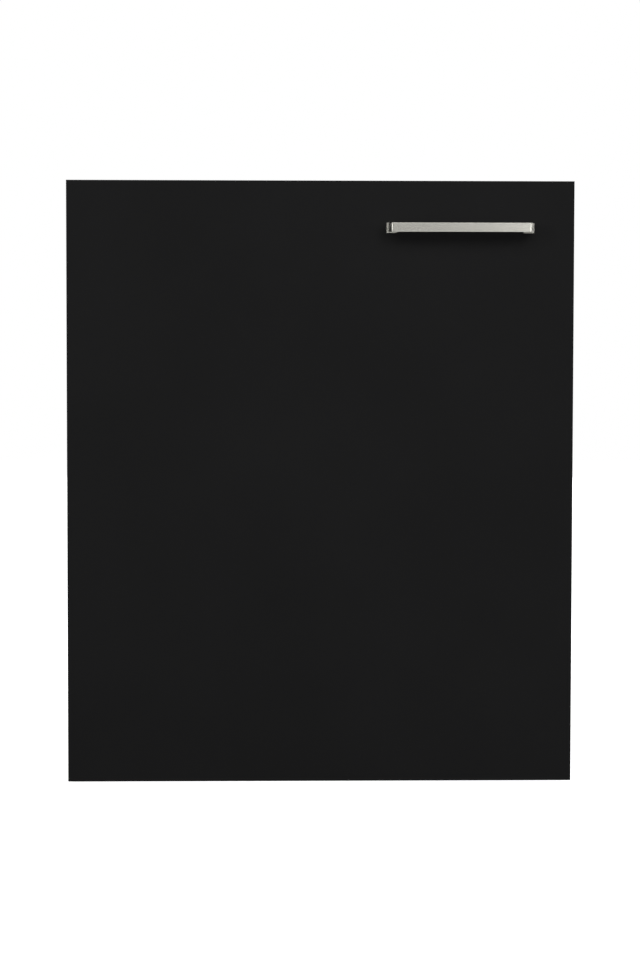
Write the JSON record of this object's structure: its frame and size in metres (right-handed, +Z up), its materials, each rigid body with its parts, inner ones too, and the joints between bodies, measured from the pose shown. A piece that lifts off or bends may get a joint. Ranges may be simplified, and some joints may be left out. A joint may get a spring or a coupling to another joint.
{
  "type": "trash compactor",
  "caption": "Built-in trash compactor: matt black slab drawer front with a brushed D handle, bin on slides, and a motor-driven ram on twin power screws.",
  "frame": {"origin": "on the floor, under the centre of the overall width and depth", "axes": "+X to the right of a person facing the front, -Y out of the front, +Z up"},
  "size_m": [0.596, 0.6, 0.714],
  "materials": {
    "black_laminate": "dead matt, very smooth, faint mottle",
    "brushed_nickel": "satin nickel, brushed along its length",
    "zinc_steel": "bright zinc plate",
    "painted_grey_steel": "satin grey powder coat",
    "seal_rubber": "matt black extruded rubber",
    "galvanised_steel": "galvanised sheet with a soft spangle",
    "enamelled_bin": "grey stoved enamel",
    "charcoal_sheet": "charcoal powder coat with a fine texture",
    "bronze": "machined bronze, lightly oiled",
    "cast_iron": "dark sand-cast iron",
    "rail_steel": "zinc-plated cold-rolled steel",
    "screw_steel": "rolled steel with a film of grease",
    "sprocket_steel": "dark machined steel",
    "gear_steel": "machined steel",
    "motor_paint": "dark grey machine paint",
    "capacitor_can": "drawn aluminium can",
    "chain_steel": "oiled dark steel",
    "enamelled_ram": "pale grey enamel, scuffed at the edges",
    "black_plastic": "black moulded plastic",
    "filter_charcoal": "pleated charcoal felt in a card frame",
    "fascia_plastic": "fine-textured dark grey plastic",
    "start_green": "moulded green plastic",
    "stop_red": "moulded red plastic",
    "knob_metal": "satin chrome",
    "lamp_lens": "amber lens",
    "circuit_board": "green board with black and blue components",
    "switch_plastic": "black moulded plastic",
    "plunger_plastic": "orange plastic",
    "foot_plastic": "black plastic pad with a steel stud"
  },
  "bodies": {
    "cabinet": {"base_pan": "galvanised_steel", "deck_plate": "galvanised_steel", "left_side_panel": "charcoal_sheet", "right_side_panel": "charcoal_sheet", "top_panel": "charcoal_sheet", "rear_panel": "galvanised_steel", "inner_rear_wall": "painted_grey_steel", "upper_crossbeam": "galvanised_steel", "upper_screw_bushes": "bronze", "lower_screw_bearings": "cast_iron", "left_guide_post": "galvanised_steel", "right_guide_post": "galvanised_steel", "left_outer_rail": "rail_steel", "right_outer_rail": "rail_steel", "motor_housing": "motor_paint", "run_capacitor": "capacitor_can", "jackshaft_bearings": "bronze", "drive_chain": "chain_steel", "fan_housing": "black_plastic", "carbon_filter": "filter_charcoal", "control_housing": "black_plastic", "control_fascia": "fascia_plastic", "indicator_lens": "lamp_lens", "control_board": "circuit_board", "limit_switch": "switch_plastic", "drawer_switch": "switch_plastic", "cable_gland": "black_plastic", "cabinet_screws": "zinc_steel"},
    "drawer": {"front_panel": "black_laminate", "pull_handle": "brushed_nickel", "front_screws": "zinc_steel", "front_frame": "painted_grey_steel", "front_gasket": "seal_rubber", "bin_carrier": "galvanised_steel", "refuse_bin": "enamelled_bin", "left_inner_rail": "rail_steel", "right_inner_rail": "rail_steel"},
    "middle_slides": {"left_middle_rail": "rail_steel", "right_middle_rail": "rail_steel"},
    "motor_rotor": {"motor_rotor": "screw_steel"},
    "jackshaft": {"jackshaft": "sprocket_steel", "reduction_gear": "gear_steel"},
    "left_screw": {"left_power_screw": "screw_steel", "left_screw_sprocket": "sprocket_steel"},
    "right_screw": {"right_power_screw": "screw_steel", "right_screw_sprocket": "sprocket_steel"},
    "ram": {"ram_plate": "enamelled_ram", "ram_column": "enamelled_ram", "crosshead": "enamelled_ram", "ram_nuts": "bronze"},
    "fan_rotor": {"fan_rotor": "black_plastic"},
    "start_button": {"start_button": "start_green"},
    "stop_button": {"stop_button": "stop_red"},
    "key_knob": {"key_knob": "knob_metal"},
    "limit_lever": {"limit_lever": "rail_steel"},
    "switch_plunger": {"switch_plunger": "plunger_plastic"},
    "front_left_foot": {"front_left_foot": "foot_plastic"},
    "front_right_foot": {"front_right_foot": "foot_plastic"},
    "rear_left_foot": {"rear_left_foot": "foot_plastic"},
    "rear_right_foot": {"rear_right_foot": "foot_plastic"}
  },
  "joints": [
    {"name": "drawer_slide", "type": "slide", "parent": "cabinet", "child": "drawer", "axis": [0, -1, 0], "range_m": [0, 0.41]},
    {"name": "slide_extension", "type": "slide", "parent": "cabinet", "child": "middle_slides", "axis": [0, -1, 0], "range_m": [0, 0.205]},
    {"name": "ram_travel", "type": "slide", "parent": "cabinet", "child": "ram", "axis": [0, 0, -1], "range_m": [0, 0.2]},
    {"name": "motor_spin", "type": "hinge", "parent": "cabinet", "child": "motor_rotor", "pos_m": [0.06887, 0.236, 0.12], "axis": [0, 0, -1], "range_deg": [0, 108000]},
    {"name": "jackshaft_spin", "type": "hinge", "parent": "cabinet", "child": "jackshaft", "pos_m": [0, 0.215, 0.05], "axis": [0, 0, 1], "range_deg": [0, 27000]},
    {"name": "left_screw_spin", "type": "hinge", "parent": "cabinet", "child": "left_screw", "pos_m": [-0.264, -0.032, 0.1], "axis": [0, 0, 1], "range_deg": [0, 18000]},
    {"name": "right_screw_spin", "type": "hinge", "parent": "cabinet", "child": "right_screw", "pos_m": [0.264, -0.032, 0.1], "axis": [0, 0, 1], "range_deg": [0, 18000]},
    {"name": "fan_spin", "type": "hinge", "parent": "cabinet", "child": "fan_rotor", "pos_m": [-0.13, 0.19, 0.56], "axis": [0, 1, 0], "continuous": true},
    {"name": "start_press", "type": "slide", "parent": "cabinet", "child": "start_button", "axis": [0, 1, 0], "range_m": [0, 0.0025], "stiffness_N_per_m": 400},
    {"name": "stop_press", "type": "slide", "parent": "cabinet", "child": "stop_button", "axis": [0, 1, 0], "range_m": [0, 0.0025], "stiffness_N_per_m": 400},
    {"name": "key_turn", "type": "hinge", "parent": "cabinet", "child": "key_knob", "pos_m": [0.09, -0.222, 0.678], "axis": [0, 1, 0], "range_deg": [0, 90]},
    {"name": "limit_lever_swing", "type": "hinge", "parent": "cabinet", "child": "limit_lever", "pos_m": [0.106, 0.0004, 0.6943], "axis": [0, -1, 0], "range_deg": [0, 2], "stiffness_Nm_per_rad": 0.02},
    {"name": "interlock_press", "type": "slide", "parent": "cabinet", "child": "switch_plunger", "axis": [0, 1, 0], "range_m": [0, 0.0025], "stiffness_N_per_m": 200},
    {"name": "front_left_foot_turn", "type": "hinge", "parent": "cabinet", "child": "front_left_foot", "pos_m": [-0.25, -0.185, 0.01], "axis": [0, 0, 1], "continuous": true},
    {"name": "front_right_foot_turn", "type": "hinge", "parent": "cabinet", "child": "front_right_foot", "pos_m": [0.25, -0.185, 0.01], "axis": [0, 0, 1], "continuous": true},
    {"name": "rear_left_foot_turn", "type": "hinge", "parent": "cabinet", "child": "rear_left_foot", "pos_m": [-0.25, 0.258, 0.01], "axis": [0, 0, 1], "continuous": true},
    {"name": "rear_right_foot_turn", "type": "hinge", "parent": "cabinet", "child": "rear_right_foot", "pos_m": [0.25, 0.258, 0.01], "axis": [0, 0, 1], "continuous": true}
  ],
  "couplings": [
    {"joint": "slide_extension", "follows": "drawer_slide", "ratio": 0.5},
    {"joint": "motor_spin", "follows": "ram_travel", "rad_per_m": 9424.8},
    {"joint": "jackshaft_spin", "follows": "ram_travel", "rad_per_m": 2356.2},
    {"joint": "left_screw_spin", "follows": "ram_travel", "rad_per_m": 1570.8},
    {"joint": "right_screw_spin", "follows": "ram_travel", "rad_per_m": 1570.8}
  ]
}
